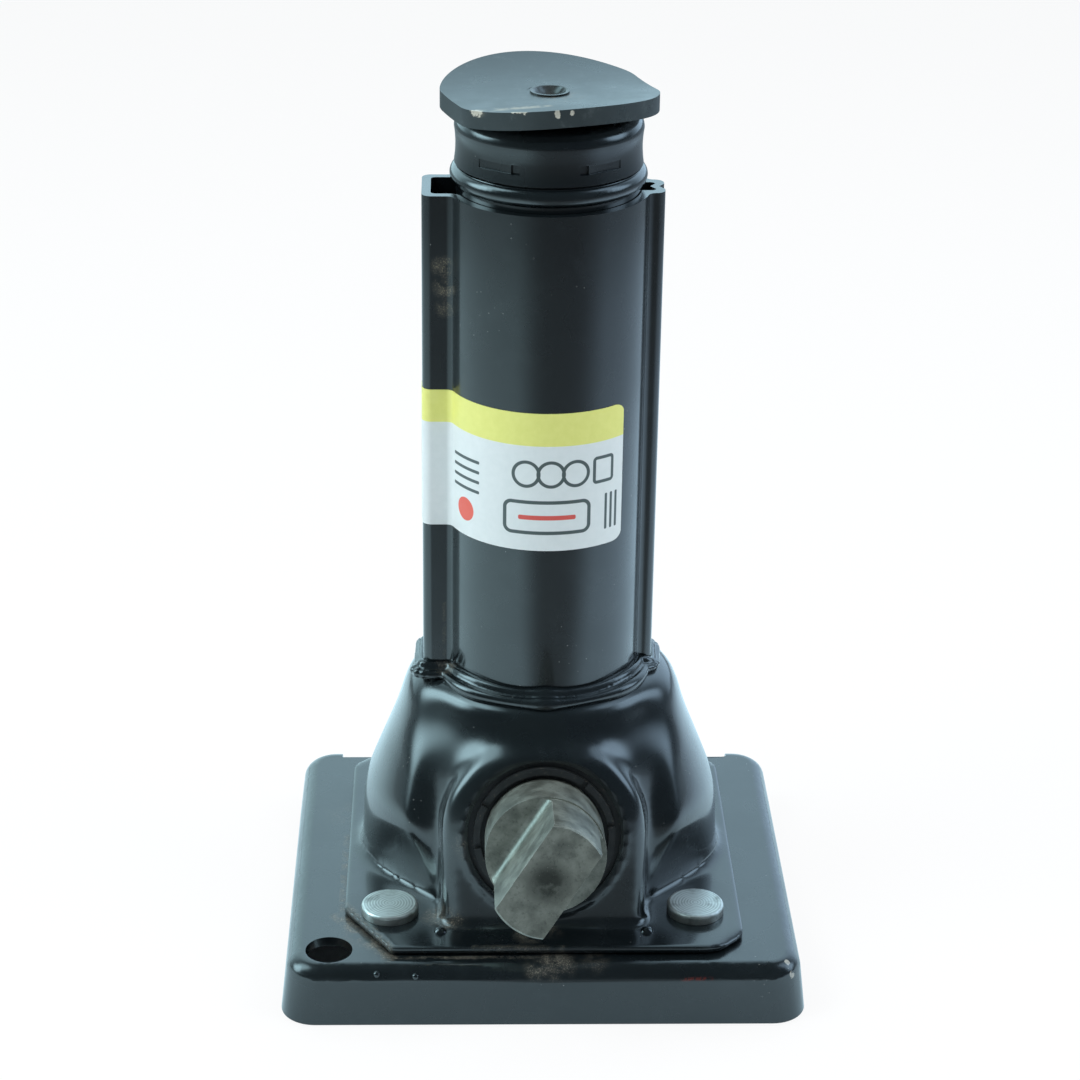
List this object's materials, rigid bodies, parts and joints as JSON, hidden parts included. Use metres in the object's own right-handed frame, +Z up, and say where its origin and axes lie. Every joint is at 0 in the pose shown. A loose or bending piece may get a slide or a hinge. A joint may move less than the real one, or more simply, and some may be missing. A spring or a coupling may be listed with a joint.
{
  "type": "bottle jack",
  "caption": "Crank-driven two-stage screw bottle jack with a bevel gear housing, keyed column and round saddle.",
  "frame": {"origin": "on the column axis, on the floor, at the underside of the base's central dish", "axes": "+Z up along the column; -Y towards the crank shaft at the front; +X to the right of someone facing the crank"},
  "size_m": [0.15, 0.1505, 0.256],
  "materials": {
    "black_paint": "satin black paint over pressed steel",
    "worn_paint": "thin black paint, scuffed to grey",
    "zinc_plate": "zinc plated, turned head",
    "forged_steel": "bare forged steel with ground flats",
    "machined_steel": "machined and oiled",
    "greased_steel": "drawn tube with a film of grease",
    "black_plastic": "matt moulded nylon"
  },
  "bodies": {
    "root": {"base_plate": "black_paint", "gear_housing": "black_paint", "housing_rivets": "zinc_plate", "outer_tube": "black_paint", "column_weld": "black_paint", "bearing_seat": "machined_steel", "lower_race": "machined_steel", "pinion_bush": "black_plastic", "bush_lip": "black_plastic"},
    "crank": {"drive_shaft": "forged_steel", "drive_pinion": "machined_steel", "pinion_clip": "machined_steel", "pinion_washer": "machined_steel"},
    "spindle": {"main_screw": "machined_steel", "main_screw_stop": "machined_steel", "crown_gear": "machined_steel", "upper_race": "machined_steel"},
    "bearing_cage": {"ball_cage": "machined_steel", "thrust_balls": "machined_steel"},
    "middle_stage": {"middle_tube": "black_paint", "middle_foot": "machined_steel"},
    "hollow_screw": {"middle_screw": "machined_steel", "middle_collar": "machined_steel", "middle_screw_stop": "machined_steel"},
    "ram": {"ram_tube": "greased_steel", "ram_nut": "machined_steel", "ram_key": "machined_steel", "ram_cap": "black_paint", "saddle": "worn_paint", "saddle_rivet": "worn_paint"}
  },
  "joints": [
    {"name": "crank_turn", "type": "hinge", "parent": "root", "child": "crank", "pos_m": [0, 0, 0.038], "axis": [0, 0.9781, -0.2079], "range_deg": [0, 33000.02]},
    {"name": "spindle_turn", "type": "hinge", "parent": "root", "child": "spindle", "pos_m": [0, 0, 0.016], "axis": [0, 0, -1], "range_deg": [0, 13200.01]},
    {"name": "cage_turn", "type": "hinge", "parent": "root", "child": "bearing_cage", "pos_m": [0, 0, 0.0111], "axis": [0, 0, -1], "range_deg": [0, 6600.01]},
    {"name": "middle_lift", "type": "slide", "parent": "root", "child": "middle_stage", "axis": [0, 0, 1], "range_m": [0, 0.11]},
    {"name": "hollow_screw_turn", "type": "hinge", "parent": "middle_stage", "child": "hollow_screw", "pos_m": [0, 0, 0.084], "axis": [0, 0, -1], "range_deg": [0, 6600.01]},
    {"name": "ram_lift", "type": "slide", "parent": "middle_stage", "child": "ram", "axis": [0, 0, 1], "range_m": [0, 0.11]}
  ],
  "couplings": [
    {"joint": "crank_turn", "follows": "middle_lift", "rad_per_m": 5236},
    {"joint": "spindle_turn", "follows": "middle_lift", "rad_per_m": 2094.4},
    {"joint": "cage_turn", "follows": "middle_lift", "rad_per_m": 1047.2},
    {"joint": "hollow_screw_turn", "follows": "middle_lift", "rad_per_m": 1047.2},
    {"joint": "ram_lift", "follows": "middle_lift", "ratio": 1}
  ]
}
